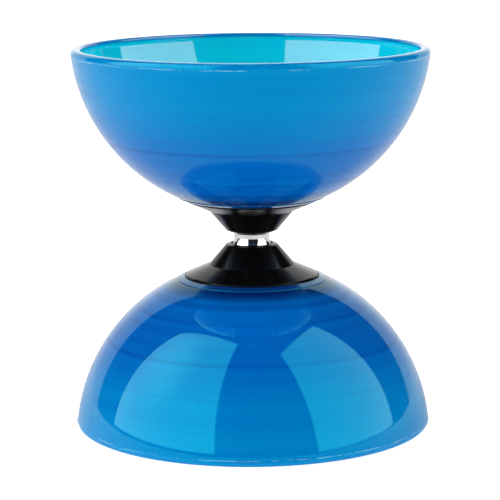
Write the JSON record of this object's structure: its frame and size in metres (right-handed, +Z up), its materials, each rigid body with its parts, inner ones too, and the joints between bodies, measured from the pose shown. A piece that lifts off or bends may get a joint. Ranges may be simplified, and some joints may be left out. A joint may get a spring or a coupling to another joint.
{
  "type": "diabolo",
  "caption": "Diabolo, or Chinese yo-yo: glossy blue bowl-shaped cups set base to base on black stepped hubs, with a free-turning chrome roller between them that the string runs on.",
  "frame": {"origin": "centre of the plane that the lower cup's rim stands on", "axes": "+Z up along the spin axis, from the lower rim to the upper rim; the object is round about Z"},
  "size_m": [0.125, 0.125, 0.1332],
  "materials": {
    "cup_blue": "glossy moulded plastic, faintly translucent",
    "hub_black": "satin moulded plastic",
    "roller_chrome": "polished plate",
    "fastener_steel": "zinc plated",
    "bearing_steel": "ground",
    "insert_brass": "turned",
    "cage_nylon": "moulded nylon"
  },
  "bodies": {
    "axle_assembly": {"cup_upper": "cup_blue", "cup_lower": "cup_blue", "hub_upper": "hub_black", "hub_lower": "hub_black", "hub_insert_upper": "insert_brass", "hub_insert_lower": "insert_brass", "inner_cap_upper": "hub_black", "inner_cap_lower": "hub_black", "washer_upper": "fastener_steel", "washer_lower": "fastener_steel", "nut_upper": "fastener_steel", "nut_lower": "fastener_steel", "spacer_upper": "fastener_steel", "spacer_lower": "fastener_steel", "axle": "fastener_steel", "bearing_upper_inner_ring": "bearing_steel", "bearing_middle_inner_ring": "bearing_steel", "bearing_lower_inner_ring": "bearing_steel"},
    "roller": {"roller_sleeve": "roller_chrome", "bearing_upper_outer_ring": "bearing_steel", "bearing_upper_top_shield": "bearing_steel", "bearing_upper_bottom_shield": "bearing_steel", "bearing_middle_outer_ring": "bearing_steel", "bearing_middle_top_shield": "bearing_steel", "bearing_middle_bottom_shield": "bearing_steel", "bearing_lower_outer_ring": "bearing_steel", "bearing_lower_top_shield": "bearing_steel", "bearing_lower_bottom_shield": "bearing_steel"},
    "upper_cage": {"bearing_upper_cage": "cage_nylon", "bearing_upper_ball_1": "bearing_steel", "bearing_upper_ball_2": "bearing_steel", "bearing_upper_ball_3": "bearing_steel", "bearing_upper_ball_4": "bearing_steel", "bearing_upper_ball_5": "bearing_steel", "bearing_upper_ball_6": "bearing_steel", "bearing_upper_ball_7": "bearing_steel"},
    "middle_cage": {"bearing_middle_cage": "cage_nylon", "bearing_middle_ball_1": "bearing_steel", "bearing_middle_ball_2": "bearing_steel", "bearing_middle_ball_3": "bearing_steel", "bearing_middle_ball_4": "bearing_steel", "bearing_middle_ball_5": "bearing_steel", "bearing_middle_ball_6": "bearing_steel", "bearing_middle_ball_7": "bearing_steel"},
    "lower_cage": {"bearing_lower_cage": "cage_nylon", "bearing_lower_ball_1": "bearing_steel", "bearing_lower_ball_2": "bearing_steel", "bearing_lower_ball_3": "bearing_steel", "bearing_lower_ball_4": "bearing_steel", "bearing_lower_ball_5": "bearing_steel", "bearing_lower_ball_6": "bearing_steel", "bearing_lower_ball_7": "bearing_steel"}
  },
  "joints": [
    {"name": "roller_spin", "type": "hinge", "parent": "axle_assembly", "child": "roller", "pos_m": [0, 0, 0.0666], "axis": [0, 0, 1], "continuous": true},
    {"name": "upper_cage_spin", "type": "hinge", "parent": "axle_assembly", "child": "upper_cage", "pos_m": [0, 0, 0.0706], "axis": [0, 0, 1], "continuous": true},
    {"name": "middle_cage_spin", "type": "hinge", "parent": "axle_assembly", "child": "middle_cage", "pos_m": [0, 0, 0.0666], "axis": [0, 0, 1], "continuous": true},
    {"name": "lower_cage_spin", "type": "hinge", "parent": "axle_assembly", "child": "lower_cage", "pos_m": [0, 0, 0.0626], "axis": [0, 0, 1], "continuous": true}
  ],
  "couplings": [
    {"joint": "upper_cage_spin", "follows": "roller_spin", "ratio": 0.59925},
    {"joint": "middle_cage_spin", "follows": "roller_spin", "ratio": 0.59925},
    {"joint": "lower_cage_spin", "follows": "roller_spin", "ratio": 0.59925}
  ]
}
